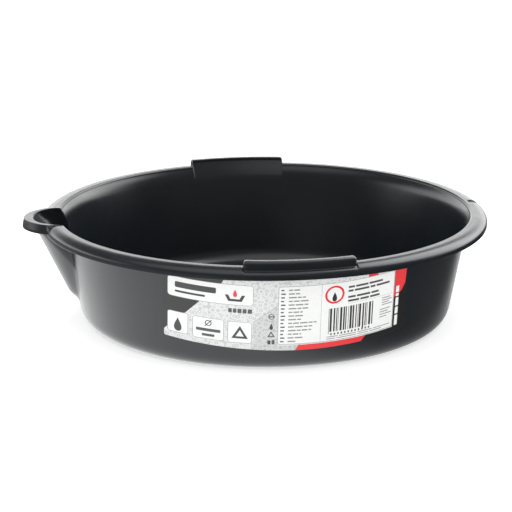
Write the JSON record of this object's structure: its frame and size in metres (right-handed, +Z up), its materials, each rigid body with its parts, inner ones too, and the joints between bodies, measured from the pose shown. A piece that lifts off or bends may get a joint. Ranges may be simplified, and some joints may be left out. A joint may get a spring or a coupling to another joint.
{
  "type": "oil drain pan",
  "caption": "Round shallow basin with a rolled rim, a pouring spout, two raised grips, a hang hole and a printed label on its side, for catching drained oil.",
  "frame": {"origin": "middle of the underside of the base, on the surface that the pan stands on", "axes": "+Z up; the spout points along -X and the hang hole is on +X; the grips are on +Y and -Y, and the label is on the -Y side"},
  "size_m": [0.3863, 0.37, 0.0953],
  "materials": {
    "pan_plastic": "satin moulded polypropylene with a fine grain",
    "label_film": "printed self-adhesive film, semi-gloss"
  },
  "bodies": {
    "root": {"pan": "pan_plastic", "label": "label_film"}
  },
  "joints": []
}
